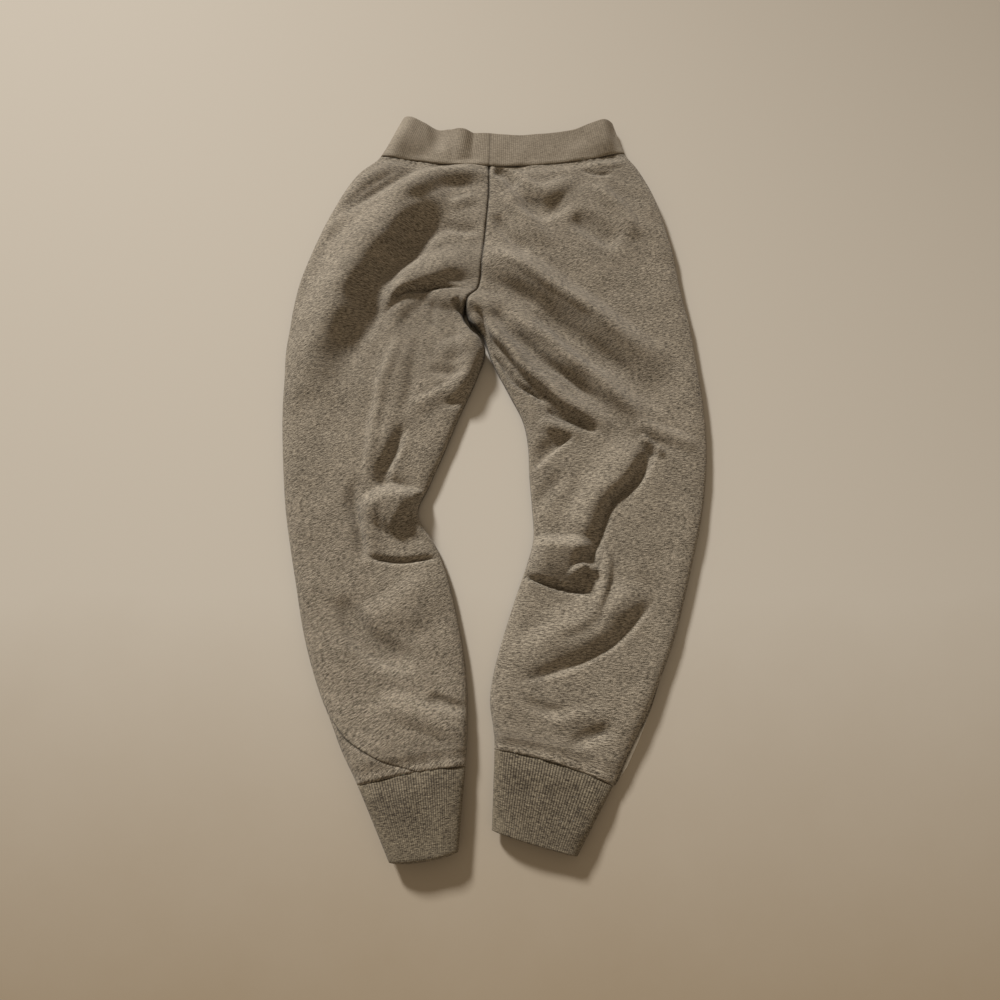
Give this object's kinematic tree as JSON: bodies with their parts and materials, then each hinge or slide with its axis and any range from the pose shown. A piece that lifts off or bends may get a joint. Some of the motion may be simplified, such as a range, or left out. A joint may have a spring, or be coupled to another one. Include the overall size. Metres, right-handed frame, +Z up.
{
  "type": "jogger sweatpants",
  "caption": "Rib-waisted fleece jogger sweatpants laid out flat with the back side up, two tapered legs ending in gathered rib cuffs.",
  "frame": {"origin": "middle of the laid-out garment's box, on the surface it lies on", "axes": "+Y towards the waist, +X towards the wearer's right leg, +Z up from the surface, out of the garment's back side"},
  "size_m": [0.4169, 0.7552, 0.0256],
  "materials": {
    "fleece": "heather brushed fleece, matt with a soft nap",
    "waist_rib": "fine heather rib, matt",
    "cuff_rib": "one by one heather rib, matt"
  },
  "bodies": {
    "root": {"waistband": "waist_rib", "back_panel_left": "fleece", "back_panel_right": "fleece", "front_panel_left": "fleece", "front_panel_right": "fleece", "cuff_left": "cuff_rib", "cuff_right": "cuff_rib"}
  },
  "joints": []
}
